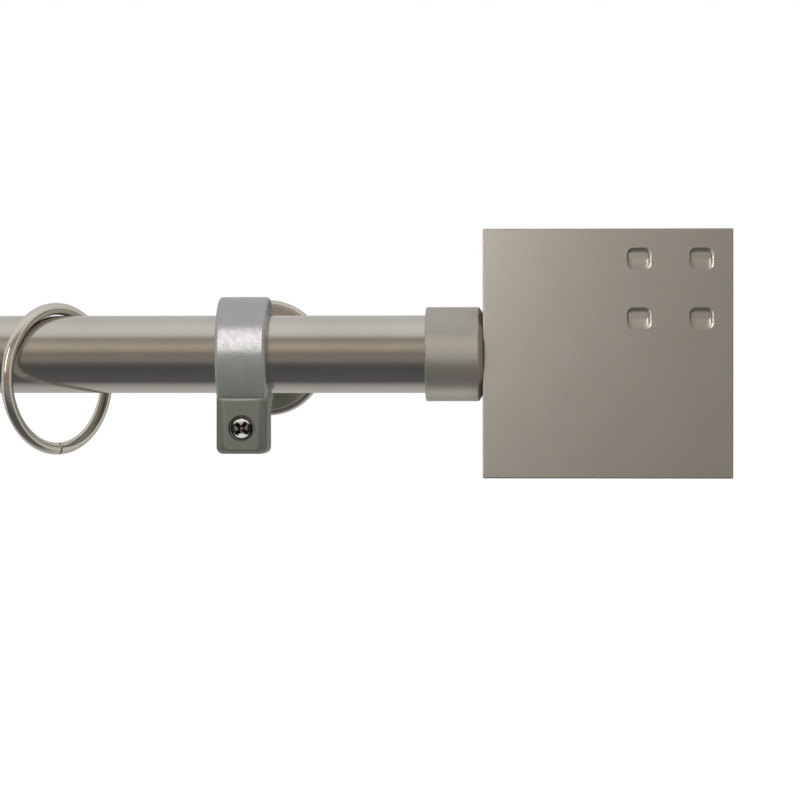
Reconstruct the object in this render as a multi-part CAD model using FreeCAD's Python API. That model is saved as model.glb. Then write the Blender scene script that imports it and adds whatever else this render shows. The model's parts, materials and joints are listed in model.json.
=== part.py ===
"""A curtain rod with rings, held on a wall by two clamp brackets.

The rod is two tubes, one sliding in the other, each closed by a square finial on a round
collar. X runs along the rod, the wall is the plane Y = 0 on the +Y side, and Z points up.
The origin is the centre of the right bracket's wall face. All sizes are in millimetres.
"""
import FreeCAD, Part
import math
import os

Vector = FreeCAD.Vector

# Tubes
ROD_OD = 25.4
ROD_WALL = 0.8
INNER_TUBE_OD = 22.2
INNER_TUBE_WALL = 0.8
VISIBLE_LENGTH = 711.0      # outer tube seen between the two collars, pushed in
PROJECTION = 85.0           # rod axis to the wall
TAIL_ROOM = 5.0             # free run left behind the inner tube, pushed in

# Running and assembly clearances, each measured on the radius
SLIDE_GAP = 0.3             # between pieces that slide past each other
CLAMP_GAP = 0.15            # between a clamped tube and its bracket
SOCKET_GAP = 0.1            # between a fixed piece and the hole it seats in
THREAD_GAP = 0.05           # between a screw thread and its tapped hole

# Guide ring in the outer tube's mouth, and the bush on the inner tube's tail
GUIDE_LENGTH = 12.0
GUIDE_LIP = 1.2
GUIDE_LIP_STEP = 0.2        # the lip stays this far inside the tube's outside
TAIL_SPIGOT = 14.0
TAIL_FLANGE = 5.0
TAIL_LEAD = 1.0

# Collar between tube and finial
COLLAR_OD = 30.8
COLLAR_LENGTH = 17.3
SOCKET_DEPTH = 12.0
COLLAR_EDGE = 0.6
NECK_OD = 26.6              # the collar tapers to this where it meets the finial
NECK_LENGTH = 1.4
MOUTH_RECESS = 3.0          # depth to which the left collar swallows the outer tube
MOUTH_GAP = 0.4             # end play between the guide ring's lip and the adapter

# Finial
FINIAL_SIDE = 80.8
FINIAL_THICKNESS = 22.0
FINIAL_EDGE = 0.7
DIMPLE_WIDTH = 7.9
DIMPLE_HEIGHT = 7.3
DIMPLE_DEPTH = 1.0
DIMPLE_SLOPE = 1.0          # how much each wall leans in over the depth
DIMPLE_CORNER = 2.0
DIMPLE_PITCH_ACROSS = 20.1
DIMPLE_PITCH_DOWN = 19.3
DIMPLE_FROM_OUTER_EDGE = 10.2
DIMPLE_FROM_TOP = 9.8

# Stud and end plugs that hold a finial on its tube
STUD_OD = 6.0
STUD_GRIP = 16.0
STUD_CHAMFER = 0.8
TAPPED_EXTRA = 2.0          # tapped depth beyond the stud's end
PLUG_LENGTH = 22.0
PLUG_CHAMFER = 0.8

# Bracket places: each bracket's centre to the collar beside it
RIGHT_REACH = 59.5
LEFT_REACH = 29.5

# Clamp band and its lugs
BAND_OD = 37.6
BAND_WIDTH = 16.4
BAND_CHAMFER = 0.7
LUG_DROP = 32.5             # rod axis to the bottom of the lugs
LUG_FACE = 12.6             # rod axis to the front face of the front lug
LUG_PARTING = 4.8           # rod axis to the back face of the front lug
LUG_BACK = 4.0              # rod axis to the back face of the rear lug, behind the axis
LUG_CORNER = 2.2
LUG_BEVEL_SIDE = 2.6
LUG_BEVEL_DEPTH = 0.9
LUG_BEVEL_BOTTOM = 1.4
LUG_BEVEL_TOP = 1.3
CLOSING_GAP = 0.8           # gap left between the two lugs when the clamp is tight
LAP_HEIGHT = 15.7           # rod axis to the flat of the lap joint at the top
LAP_LENGTH = 5.0
LAP_TOOTH = 1.6
LAP_TOOTH_DEPTH = 1.4
LAP_GAP = 0.2

# Clamp screw
SCREW_DROP = 24.2           # rod axis to the clamp screw
SCREW_OD = 4.0
SCREW_HEAD_OD = 7.0
SCREW_HEAD_HEIGHT = 2.6
SCREW_HEAD_ROUNDING = 2.2
SCREW_TIP = 0.6
SCREW_HOLE_GAP = 0.25
COUNTERBORE_OD = 8.3
COUNTERBORE_DEPTH = 1.6
CROSS_WIDTH = 1.3
CROSS_SPAN = 4.8
CROSS_DEPTH = 1.8
CROSS_TURN = 40.0

# Arm and wall plate
ARM_OD = 12.0
ARM_FLARE_OD = 16.0
ARM_FLARE_LENGTH = 9.0
PLATE_OD = 41.0
PLATE_THICKNESS = 5.0
PLATE_EDGE = 2.3
BOSS_HEIGHT = 9.0
BOSS_WALL = 3.2
BOSS_EDGE = 0.8
WALL_HOLE_SPACING = 28.4    # along the rod, so a screwdriver passes beside the band
WALL_HOLE_OD = 4.5
WALL_HOLE_SINK_OD = 7.8
SET_SCREW_OD = 4.0
SET_SCREW_SOCKET = 2.0      # across the flats of the hexagonal socket
SET_SCREW_SOCKET_DEPTH = 1.6

# Rings of round wire, each with its ends butted at the bottom
RING_BORE = 42.0
RING_WIRE = 4.0
RING_HANG_GAP = 0.3         # under the wire where a ring hangs on the rod
RING_SEAM = 0.25
RING_SEAM_CHAMFER = 0.35
RING_BRACKET_GAP = 0.5      # between the first ring and the left clamp band
LAST_RING_REACH = 62.0      # the right bracket's centre to the last ring
RING_TURNS = (11.0, 38.0, -38.0, 38.0, -31.0, 34.0, -36.0)
RING_DRIFTS = (0.0, -10.8, -22.3, -17.9, -16.6, -6.0, 0.0)

# Places worked out from the sizes above
ROD_Y = -PROJECTION
ROD_RADIUS = ROD_OD / 2
ROD_BORE_RADIUS = ROD_RADIUS - ROD_WALL
INNER_RADIUS = INNER_TUBE_OD / 2
INNER_BORE_RADIUS = INNER_RADIUS - INNER_TUBE_WALL
COLLAR_BORE_RADIUS = ROD_RADIUS + SLIDE_GAP
CLAMP_BORE_RADIUS = ROD_RADIUS + CLAMP_GAP
RIGHT_COLLAR_X = RIGHT_REACH
LEFT_COLLAR_X = RIGHT_COLLAR_X - VISIBLE_LENGTH
LEFT_BRACKET_X = LEFT_COLLAR_X + LEFT_REACH
ROD_RIGHT_END = RIGHT_COLLAR_X + SOCKET_DEPTH
ROD_LEFT_END = LEFT_COLLAR_X - MOUTH_RECESS + GUIDE_LIP
INNER_LEFT_END = LEFT_COLLAR_X - SOCKET_DEPTH
TAIL_END = ROD_RIGHT_END - PLUG_LENGTH - TAIL_ROOM
INNER_RIGHT_END = TAIL_END - TAIL_FLANGE
FINIAL_START = COLLAR_LENGTH + NECK_LENGTH
UP = Vector(0, 0, 1)


def corner_points(before, corner, after, radius):
    """Give where a rounded corner starts, its middle and where it ends."""
    to_before = (before - corner).normalize()
    to_after = (after - corner).normalize()
    half_angle = to_before.getAngle(to_after) / 2
    reach = radius / math.tan(half_angle)
    bisector = (to_before + to_after).normalize()
    middle = corner + bisector * (radius / math.sin(half_angle) - radius)
    return corner + to_before * reach, middle, corner + to_after * reach


def outline(corners, to_space):
    """Make a flat face from corners (across, along, radius), rounded where radius is set."""
    points = [to_space(across, along) for across, along, radius in corners]
    count = len(points)
    ends = []
    for index, corner in enumerate(corners):
        radius = corner[2]
        if radius > 0:
            before = points[index - 1]
            after = points[(index + 1) % count]
            ends.append(corner_points(before, points[index], after, radius))
        else:
            ends.append((points[index], None, points[index]))
    edges = []
    for index, (start, middle, end) in enumerate(ends):
        if middle is not None:
            edges.append(Part.Arc(start, middle, end).toShape())
        following = ends[(index + 1) % count][0]
        edges.append(Part.LineSegment(end, following).toShape())
    return Part.Face(Part.Wire(edges))


def turned(corners, base, axis):
    """Turn a profile of (along the axis, radius, rounding) about an axis through base."""
    face = outline(corners, lambda along, radius: base + axis * along + UP * radius)
    return face.revolve(base, axis, 360)


def turned_on_rod(corners):
    """Turn a profile of (along the rod, radius, rounding) about the rod's axis."""
    return turned(corners, Vector(0, ROD_Y, 0), Vector(1, 0, 0))


def turned_on_arm(corners):
    """Turn a profile of (out from the wall, radius, rounding) about the arm's axis."""
    return turned(corners, Vector(0, 0, 0), Vector(0, -1, 0))


def tube(start, end, outer_radius, bore_radius):
    """Make a plain tube on the rod's axis between two places along it."""
    return turned_on_rod([
        (start, bore_radius, 0),
        (end, bore_radius, 0),
        (end, outer_radius, 0),
        (start, outer_radius, 0),
    ])


def rod_cylinder(start, end, radius):
    """Make a solid cylinder on the rod's axis between two places along it."""
    return Part.makeCylinder(radius, end - start, Vector(start, ROD_Y, 0), Vector(1, 0, 0))


def outer_tube():
    """Make the outer tube, clamped by both brackets."""
    return tube(ROD_LEFT_END, ROD_RIGHT_END, ROD_RADIUS, ROD_BORE_RADIUS)


def inner_tube():
    """Make the inner tube, which carries the left finial."""
    return tube(INNER_LEFT_END, INNER_RIGHT_END, INNER_RADIUS, INNER_BORE_RADIUS)


def guide_ring():
    """Make the lipped ring in the outer tube's mouth that the inner tube runs in."""
    bore = INNER_RADIUS + SLIDE_GAP
    lip_radius = ROD_RADIUS - GUIDE_LIP_STEP
    lip_face = ROD_LEFT_END - GUIDE_LIP
    return turned_on_rod([
        (lip_face, bore, 0),
        (ROD_LEFT_END + GUIDE_LENGTH, bore, 0),
        (ROD_LEFT_END + GUIDE_LENGTH, ROD_BORE_RADIUS, 0),
        (ROD_LEFT_END, ROD_BORE_RADIUS, 0),
        (ROD_LEFT_END, lip_radius, 0),
        (lip_face, lip_radius, GUIDE_LIP / 2),
    ])


def tail_bush():
    """Make the bush that plugs the inner tube's tail and centres it in the outer tube."""
    flange_radius = ROD_BORE_RADIUS - SLIDE_GAP
    spigot_end = INNER_RIGHT_END - TAIL_SPIGOT
    return turned_on_rod([
        (spigot_end, 0, 0),
        (TAIL_END, 0, 0),
        (TAIL_END, flange_radius, TAIL_LEAD),
        (INNER_RIGHT_END, flange_radius, 0),
        (INNER_RIGHT_END, INNER_BORE_RADIUS, 0),
        (spigot_end, INNER_BORE_RADIUS, TAIL_LEAD),
    ])


def adapter_sleeve():
    """Make the sleeve that fills the left collar's socket round the thinner inner tube."""
    sleeve_start = INNER_LEFT_END
    sleeve_end = LEFT_COLLAR_X - MOUTH_RECESS - MOUTH_GAP
    return tube(sleeve_start, sleeve_end, COLLAR_BORE_RADIUS, INNER_RADIUS)


def collar():
    """Make a collar with its mouth at X = 0 and its tapered neck on the +X side."""
    radius = COLLAR_OD / 2
    hole = STUD_OD / 2 + SOCKET_GAP
    neck_end = COLLAR_LENGTH + NECK_LENGTH
    return turned_on_rod([
        (0, COLLAR_BORE_RADIUS, 0),
        (SOCKET_DEPTH, COLLAR_BORE_RADIUS, 0),
        (SOCKET_DEPTH, hole, 0),
        (neck_end, hole, 0),
        (neck_end, NECK_OD / 2, 0),
        (COLLAR_LENGTH, radius, COLLAR_EDGE),
        (0, radius, COLLAR_EDGE),
    ])


def end_plug(bore_radius):
    """Make the tapped plug at the end of a tube, inside a collar whose mouth is at X = 0."""
    plug_start = SOCKET_DEPTH - PLUG_LENGTH
    hole = STUD_OD / 2 + THREAD_GAP
    return turned_on_rod([
        (plug_start, hole, 0),
        (SOCKET_DEPTH, hole, 0),
        (SOCKET_DEPTH, bore_radius, 0),
        (plug_start, bore_radius, PLUG_CHAMFER),
    ])


def finial_stud():
    """Make the stud that pulls the finial and the collar on to the tube's plug."""
    stud_start = SOCKET_DEPTH - STUD_GRIP
    stud_end = FINIAL_START + STUD_GRIP
    radius = STUD_OD / 2
    return turned_on_rod([
        (stud_start, 0, 0),
        (stud_end, 0, 0),
        (stud_end, radius, STUD_CHAMFER),
        (stud_start, radius, STUD_CHAMFER),
    ])


def rounded_square(across, down, width, height, corner, depth):
    """Make a wire with round corners, standing parallel to the wall."""
    sides = [
        (across - width / 2, down - height / 2, corner),
        (across + width / 2, down - height / 2, corner),
        (across + width / 2, down + height / 2, corner),
        (across - width / 2, down + height / 2, corner),
    ]
    return outline(sides, lambda x, z: Vector(x, depth, z)).OuterWire


def dimple(across, height, face_y, inward):
    """Make the tapered body that sinks one dimple into a face of the finial."""
    foot = rounded_square(across, height, DIMPLE_WIDTH - 2 * DIMPLE_SLOPE,
                          DIMPLE_HEIGHT - 2 * DIMPLE_SLOPE, DIMPLE_CORNER - DIMPLE_SLOPE,
                          face_y + inward * DIMPLE_DEPTH)
    growth = 2 * DIMPLE_SLOPE
    mouth = rounded_square(across, height, DIMPLE_WIDTH + growth, DIMPLE_HEIGHT + growth,
                           DIMPLE_CORNER + DIMPLE_SLOPE, face_y - inward * DIMPLE_DEPTH)
    return Part.makeLoft([foot, mouth], True, True)


def finial():
    """Make the square finial with four dimples in the upper outer part of each face."""
    half = FINIAL_SIDE / 2
    front = ROD_Y - FINIAL_THICKNESS / 2
    back = ROD_Y + FINIAL_THICKNESS / 2
    outer_edge = FINIAL_START + FINIAL_SIDE
    corner = Vector(FINIAL_START, front, -half)
    body = Part.makeBox(FINIAL_SIDE, FINIAL_THICKNESS, FINIAL_SIDE, corner)
    body = body.makeFillet(FINIAL_EDGE, body.Edges)
    for column in range(2):
        across = outer_edge - DIMPLE_FROM_OUTER_EDGE - column * DIMPLE_PITCH_ACROSS
        for row in range(2):
            height = half - DIMPLE_FROM_TOP - row * DIMPLE_PITCH_DOWN
            body = body.cut(dimple(across, height, front, 1))
            body = body.cut(dimple(across, height, back, -1))
    hole_end = FINIAL_START + STUD_GRIP + TAPPED_EXTRA
    return body.cut(rod_cylinder(FINIAL_START, hole_end, STUD_OD / 2 + THREAD_GAP))


def placed_right(shape):
    """Move a piece built at a collar's mouth to the right end of the rod."""
    return shape.translated(Vector(RIGHT_COLLAR_X, 0, 0))


def placed_left(shape):
    """Turn a piece built at a collar's mouth end for end and move it to the left end."""
    turned = shape.rotated(Vector(0, ROD_Y, 0), UP, 180)
    return turned.translated(Vector(LEFT_COLLAR_X, 0, 0))


def side_view(points):
    """Make a face across the rod from corners (forward of the axis, height)."""
    corners = [(forward, height, 0) for forward, height in points]
    return outline(corners, lambda forward, height: Vector(0, ROD_Y - forward, height))


def across_rod(points, width):
    """Make a block of a given width, centred on X = 0, from its side view."""
    face = side_view(points)
    return face.extrude(Vector(width, 0, 0)).translated(Vector(-width / 2, 0, 0))


def lug_blank():
    """Make the solid block of both lugs, bevelled all round its front and behind."""
    half = BAND_WIDTH / 2
    top = -math.sqrt((BAND_OD / 2) ** 2 - LUG_FACE ** 2)
    depth = LUG_BEVEL_DEPTH
    seen_from_below = outline([
        (-half, LUG_FACE - depth, 0),
        (-half + LUG_BEVEL_SIDE, LUG_FACE, 0),
        (half - LUG_BEVEL_SIDE, LUG_FACE, 0),
        (half, LUG_FACE - depth, 0),
        (half, depth - LUG_BACK, 0),
        (half - depth, -LUG_BACK, 0),
        (depth - half, -LUG_BACK, 0),
        (-half, depth - LUG_BACK, 0),
    ], lambda x, forward: Vector(x, ROD_Y - forward, -LUG_DROP))
    seen_from_front = outline([
        (-half, -LUG_DROP, LUG_CORNER),
        (half, -LUG_DROP, LUG_CORNER),
        (half, top, 0),
        (-half, top, 0),
    ], lambda x, height: Vector(x, ROD_Y - BAND_OD, height))
    seen_from_side = across_rod([
        (LUG_FACE - depth, top),
        (LUG_FACE, top - LUG_BEVEL_TOP),
        (LUG_FACE, LUG_BEVEL_BOTTOM - LUG_DROP),
        (LUG_FACE - depth, -LUG_DROP),
        (depth - LUG_BACK, -LUG_DROP),
        (-LUG_BACK, depth - LUG_DROP),
        (-LUG_BACK, top),
    ], BAND_WIDTH)
    block = seen_from_below.extrude(Vector(0, 0, LUG_DROP + top))
    block = block.common(seen_from_front.extrude(Vector(0, 2 * BAND_OD, 0)))
    return block.common(seen_from_side)


def band_blank():
    """Make the whole clamp band with its lugs, before it is parted in two."""
    half = BAND_WIDTH / 2
    radius = BAND_OD / 2
    band = turned_on_rod([
        (-half, 0, 0),
        (half, 0, 0),
        (half, radius - BAND_CHAMFER, 0),
        (half - BAND_CHAMFER, radius, 0),
        (BAND_CHAMFER - half, radius, 0),
        (-half, radius - BAND_CHAMFER, 0),
    ])
    band = band.fuse(lug_blank()).removeSplitter()
    return band.cut(rod_cylinder(-BAND_WIDTH, BAND_WIDTH, CLAMP_BORE_RADIUS))


def parting(grow):
    """Make the space that the front strap takes from the band, grown by a gap."""
    reach = BAND_OD
    return across_rod([
        (reach, -reach),
        (LUG_PARTING - grow, -reach),
        (LUG_PARTING - grow, 0),
        (-grow, 0),
        (-grow, LAP_HEIGHT - grow),
        (LAP_TOOTH - LAP_LENGTH + grow, LAP_HEIGHT - grow),
        (LAP_TOOTH - LAP_LENGTH + grow, LAP_HEIGHT - LAP_TOOTH_DEPTH - grow),
        (-LAP_LENGTH - grow, LAP_HEIGHT - LAP_TOOTH_DEPTH - grow),
        (-LAP_LENGTH - grow, reach),
        (reach, reach),
    ], 2 * BAND_WIDTH)


def forward_cylinder(radius, start, end):
    """Make a cylinder on the clamp screw's axis between two places forward of the rod."""
    base = Vector(0, ROD_Y - start, -SCREW_DROP)
    return Part.makeCylinder(radius, end - start, base, Vector(0, -1, 0))


def clamp_strap():
    """Make the front strap of a bracket, hooked at the top and screwed at the bottom."""
    strap = band_blank().common(parting(0))
    seat = LUG_FACE - COUNTERBORE_DEPTH
    strap = strap.cut(forward_cylinder(COUNTERBORE_OD / 2, seat, BAND_OD))
    return strap.cut(forward_cylinder(SCREW_OD / 2 + SCREW_HOLE_GAP, -BAND_OD, BAND_OD))


def saddle_arm():
    """Make the rear half of a bracket: the saddle under the rod, its lug and the arm."""
    closing = across_rod([
        (LUG_PARTING, -BAND_OD),
        (LUG_PARTING - CLOSING_GAP, -BAND_OD),
        (LUG_PARTING - CLOSING_GAP, 0),
        (LUG_PARTING, 0),
    ], 2 * BAND_WIDTH)
    saddle = band_blank().cut(parting(LAP_GAP)).cut(closing)
    root = PROJECTION - (BAND_OD / 2 + CLAMP_BORE_RADIUS) / 2
    band_back = PROJECTION - BAND_OD / 2
    arm = turned_on_arm([
        (PLATE_THICKNESS, 0, 0),
        (root, 0, 0),
        (root, ARM_FLARE_OD / 2, 0),
        (band_back, ARM_FLARE_OD / 2, 0),
        (band_back - ARM_FLARE_LENGTH, ARM_OD / 2, ARM_FLARE_LENGTH),
        (PLATE_THICKNESS, ARM_OD / 2, BOSS_EDGE),
    ])
    saddle = saddle.fuse(arm).removeSplitter()
    return saddle.cut(forward_cylinder(SCREW_OD / 2 + THREAD_GAP, -BAND_OD, BAND_OD))


def clamp_screw():
    """Make the pan-head screw with a cross recess that closes a bracket."""
    seat = LUG_FACE - COUNTERBORE_DEPTH
    top = seat + SCREW_HEAD_HEIGHT
    screw = turned([
        (-LUG_BACK, 0, 0),
        (-LUG_BACK, SCREW_OD / 2, SCREW_TIP),
        (seat, SCREW_OD / 2, 0),
        (seat, SCREW_HEAD_OD / 2, 0),
        (top, SCREW_HEAD_OD / 2, SCREW_HEAD_ROUNDING),
        (top, 0, 0),
    ], Vector(0, ROD_Y, -SCREW_DROP), Vector(0, -1, 0))
    for quarter in (0, 90):
        slot = Part.makeBox(CROSS_SPAN, CROSS_DEPTH, CROSS_WIDTH,
                            Vector(-CROSS_SPAN / 2, ROD_Y - top, -SCREW_DROP - CROSS_WIDTH / 2))
        slot.rotate(Vector(0, 0, -SCREW_DROP), Vector(0, 1, 0), CROSS_TURN + quarter)
        screw = screw.cut(slot)
    return screw


def wall_plate():
    """Make the round wall plate with the boss that takes the arm."""
    socket = ARM_OD / 2 + SOCKET_GAP
    boss = socket + BOSS_WALL
    boss_top = PLATE_THICKNESS + BOSS_HEIGHT
    plate = turned_on_arm([
        (0, 0, 0),
        (0, PLATE_OD / 2, 0),
        (PLATE_THICKNESS, PLATE_OD / 2, PLATE_EDGE),
        (PLATE_THICKNESS, boss, BOSS_EDGE),
        (boss_top, boss, BOSS_EDGE),
        (boss_top, socket, 0),
        (PLATE_THICKNESS, socket, 0),
        (PLATE_THICKNESS, 0, 0),
    ])
    sink_depth = (WALL_HOLE_SINK_OD - WALL_HOLE_OD) / 2
    for side in (-1, 1):
        across = side * WALL_HOLE_SPACING / 2
        drill = Part.makeCylinder(WALL_HOLE_OD / 2, PLATE_THICKNESS,
                                  Vector(across, 0, 0), Vector(0, -1, 0))
        sink = Part.makeCone(WALL_HOLE_OD / 2, WALL_HOLE_SINK_OD / 2, sink_depth,
                             Vector(across, sink_depth - PLATE_THICKNESS, 0), Vector(0, -1, 0))
        plate = plate.cut(drill).cut(sink)
    tapping = Part.makeCylinder(SET_SCREW_OD / 2 + THREAD_GAP, BOSS_WALL * 2,
                                Vector(0, -set_screw_out(), -socket + SOCKET_GAP), -UP)
    return plate.cut(tapping)


def set_screw_out():
    """Give how far the set screw's axis stands out from the wall."""
    return PLATE_THICKNESS + BOSS_HEIGHT / 2


def set_screw():
    """Make the set screw under the boss, with a hexagonal socket."""
    length = BOSS_WALL + SOCKET_GAP - THREAD_GAP
    out = -set_screw_out()
    tip = Vector(0, out, -ARM_OD / 2 - THREAD_GAP)
    body = Part.makeCylinder(SET_SCREW_OD / 2, length, tip, -UP)
    corner_radius = SET_SCREW_SOCKET / math.sqrt(3)
    head = tip.z - length
    corners = []
    for index in range(6):
        angle = math.radians(60 * index)
        corners.append((corner_radius * math.cos(angle), corner_radius * math.sin(angle), 0))
    hexagon = outline(corners, lambda x, y: Vector(x, out + y, head))
    return body.cut(hexagon.extrude(Vector(0, 0, SET_SCREW_SOCKET_DEPTH)))


def wire_ring():
    """Make one ring of round wire across the rod at X = 0, its ends butted at the bottom."""
    radius = (RING_BORE + RING_WIRE) / 2
    centre = Vector(0, ROD_Y, ring_centre_height())
    seam_angle = math.degrees(RING_SEAM / radius)
    wire = Part.Face(Part.Wire(Part.makeCircle(
        RING_WIRE / 2, centre - UP * radius, Vector(0, 1, 0))))
    ring = wire.revolve(centre, Vector(1, 0, 0), 360 - seam_angle)
    ring = ring.rotated(centre, Vector(1, 0, 0), seam_angle / 2)
    ends = [edge for edge in ring.Edges if isinstance(edge.Curve, Part.Circle)
            and abs(edge.Curve.Radius - RING_WIRE / 2) < RING_SEAM_CHAMFER
            and edge.CenterOfMass.z < centre.z]
    return ring.makeChamfer(RING_SEAM_CHAMFER, ends)


def ring_centre_height():
    """Give the height of a ring's centre when it hangs on the rod."""
    return ROD_RADIUS + RING_HANG_GAP - RING_BORE / 2


def ring_half_length(turn):
    """Give how far a ring reaches along the rod each way when it is turned."""
    radius = (RING_BORE + RING_WIRE) / 2
    return radius * math.sin(math.radians(abs(turn))) + RING_WIRE / 2


def ring_places():
    """Give each ring's place along the rod: evenly spread, then drifted as it hangs."""
    first = LEFT_BRACKET_X + BAND_WIDTH / 2 + ring_half_length(RING_TURNS[0]) + RING_BRACKET_GAP
    last = -LAST_RING_REACH
    step = (last - first) / (len(RING_TURNS) - 1)
    return [first + index * step + drift for index, drift in enumerate(RING_DRIFTS)]


def bracket_pieces(side, place):
    """Make the five pieces of one bracket at a place along the rod."""
    makers = {
        "wall_plate": wall_plate,
        "set_screw": set_screw,
        "saddle_arm": saddle_arm,
        "clamp_strap": clamp_strap,
        "clamp_screw": clamp_screw,
    }
    shift = Vector(place, 0, 0)
    return {f"{side}_{name}": make().translated(shift) for name, make in makers.items()}


def all_pieces():
    """Make every piece of the curtain rod, by name."""
    pieces = {
        "outer_tube": outer_tube(),
        "guide_ring": guide_ring(),
        "inner_tube": inner_tube(),
        "tail_bush": tail_bush(),
        "adapter_sleeve": adapter_sleeve(),
        "right_end_plug": placed_right(end_plug(ROD_BORE_RADIUS)),
        "left_end_plug": placed_left(end_plug(INNER_BORE_RADIUS)),
    }
    ends = {"collar": collar, "finial_stud": finial_stud, "finial": finial}
    for name, make in ends.items():
        shape = make()
        pieces[f"right_{name}"] = placed_right(shape)
        pieces[f"left_{name}"] = placed_left(shape)
    pieces.update(bracket_pieces("right", 0))
    pieces.update(bracket_pieces("left", LEFT_BRACKET_X))
    ring = wire_ring()
    for index, (place, turn) in enumerate(zip(ring_places(), RING_TURNS), start=1):
        turned = ring.rotated(Vector(0, ROD_Y, 0), UP, turn)
        pieces[f"ring_{index}"] = turned.translated(Vector(place, 0, 0))
    return pieces


os.makedirs("parts", exist_ok=True)
for piece_name, piece in all_pieces().items():
    piece.exportStep(f"parts/{piece_name}.step")
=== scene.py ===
"""A curtain rod with rings, modelled and finished for its portrait.

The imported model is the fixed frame. Each visible piece is modelled here in metres, at the place
that the frame gives it, and takes a procedural metal finish. X runs along the rod, the wall is
the plane Y = 0, and Z points up.
"""
from __future__ import annotations

import json
import logging
import math
from collections.abc import Callable, Iterator, Sequence
from contextlib import contextmanager
from dataclasses import dataclass, field
from enum import Enum

import bmesh
import bpy
from mathutils import Matrix, Vector

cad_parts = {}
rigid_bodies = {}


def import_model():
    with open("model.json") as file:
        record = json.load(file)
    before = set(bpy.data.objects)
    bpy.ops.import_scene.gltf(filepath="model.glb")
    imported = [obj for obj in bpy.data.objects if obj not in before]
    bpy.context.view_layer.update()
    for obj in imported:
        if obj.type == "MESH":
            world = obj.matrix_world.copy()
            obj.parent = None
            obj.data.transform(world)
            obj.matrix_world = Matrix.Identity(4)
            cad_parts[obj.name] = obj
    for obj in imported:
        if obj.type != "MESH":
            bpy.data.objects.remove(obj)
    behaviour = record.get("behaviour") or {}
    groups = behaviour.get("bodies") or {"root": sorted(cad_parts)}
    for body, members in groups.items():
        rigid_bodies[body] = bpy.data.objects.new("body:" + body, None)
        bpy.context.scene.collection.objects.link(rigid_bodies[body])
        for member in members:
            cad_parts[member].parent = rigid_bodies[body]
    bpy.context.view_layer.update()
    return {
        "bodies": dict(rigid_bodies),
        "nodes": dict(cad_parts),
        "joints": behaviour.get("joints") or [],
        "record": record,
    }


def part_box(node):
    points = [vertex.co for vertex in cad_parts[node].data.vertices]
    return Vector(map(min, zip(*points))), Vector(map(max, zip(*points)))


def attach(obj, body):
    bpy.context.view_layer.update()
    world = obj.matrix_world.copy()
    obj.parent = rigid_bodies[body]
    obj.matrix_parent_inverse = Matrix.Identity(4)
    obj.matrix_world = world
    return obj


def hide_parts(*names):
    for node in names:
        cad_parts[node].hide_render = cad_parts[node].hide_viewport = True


MM = 0.001
# How close two places are, in metres, to count as one: on flat pieces and on turned ones.
TOUCH = 1e-6
NEAR = 1e-5
# How much of a face's normal lies along an axis for the face to count as square to it.
FACING = 0.9
# How many flats stand for the round of each kind of piece.
ROD_SIDES = 128
HEAD_SIDES = 96
DRILL_SIDES = 64
HOLE_SIDES = 48
# How far a drill starts before a piece and ends behind it, in millimetres.
PAST = 1.0
Colour = tuple[float, float, float]
Corner = tuple[float, float, float]
Piece = bpy.types.Object
Socket = bpy.types.NodeSocket
log = logging.getLogger("curtain_rod")


class Axis(Enum):
    """The directions that a turned piece can be built along."""

    ROD_RIGHT = (1.0, 0.0, 0.0)
    ROD_LEFT = (-1.0, 0.0, 0.0)
    OUTWARD = (0.0, -1.0, 0.0)

    @property
    def direction(self) -> Vector:
        """Give the axis as a unit vector."""
        return Vector(self.value)

    @property
    def turn(self) -> tuple[float, float, float]:
        """Give the turn that lays a disc across this axis."""
        return (math.pi / 2, 0.0, 0.0) if self is Axis.OUTWARD else (0.0, math.pi / 2, 0.0)

    def scale_across(self, factor: float) -> tuple[float, float, float]:
        """Give the scale that widens a ring across this axis and leaves it in place."""
        return tuple(1.0 if abs(part) > TOUCH else factor for part in self.value)


class Grain(Enum):
    """How a metal surface was worked, which sets the form of its fine relief."""

    DRAWN = "drawn"
    SATIN = "satin"
    CAST = "cast"
    POLISHED = "polished"
    PLAIN = "plain"


def span(node: str) -> tuple[Vector, Vector]:
    """Give a frame node's lowest and highest corners as vectors.

    Args:
        node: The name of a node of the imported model.

    Returns:
        The lowest and the highest corner, in metres.
    """
    low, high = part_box(node)
    return Vector(low), Vector(high)


def middle(node: str) -> Vector:
    """Give the centre of a frame node's box."""
    low, high = span(node)
    return (low + high) / 2


def start(add: Callable[..., set[str]], name: str, **settings: object) -> Piece:
    """Add a primitive with nothing else selected, and bake its place into its mesh.

    Args:
        add: The operator that adds the primitive.
        name: The new object's name.
        settings: The operator's own settings.

    Returns:
        The new object, at the origin and unturned.
    """
    bpy.ops.object.select_all(action="DESELECT")
    add(**settings)
    piece = bpy.context.active_object
    piece.name = name
    piece.data.name = name
    bpy.ops.object.transform_apply(location=True, rotation=True, scale=True)
    return piece


def only(piece: Piece) -> None:
    """Make one object the only one selected and the active one."""
    bpy.ops.object.select_all(action="DESELECT")
    piece.select_set(True)
    bpy.context.view_layer.objects.active = piece


@contextmanager
def editing(piece: Piece, mode: str = "VERT") -> Iterator[None]:
    """Hold a piece in edit mode, with nothing of it selected at the start."""
    only(piece)
    bpy.ops.object.mode_set(mode="EDIT")
    bpy.ops.mesh.select_mode(type=mode)
    bpy.ops.mesh.select_all(action="DESELECT")
    try:
        yield
    finally:
        bpy.ops.object.mode_set(mode="OBJECT")


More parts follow.
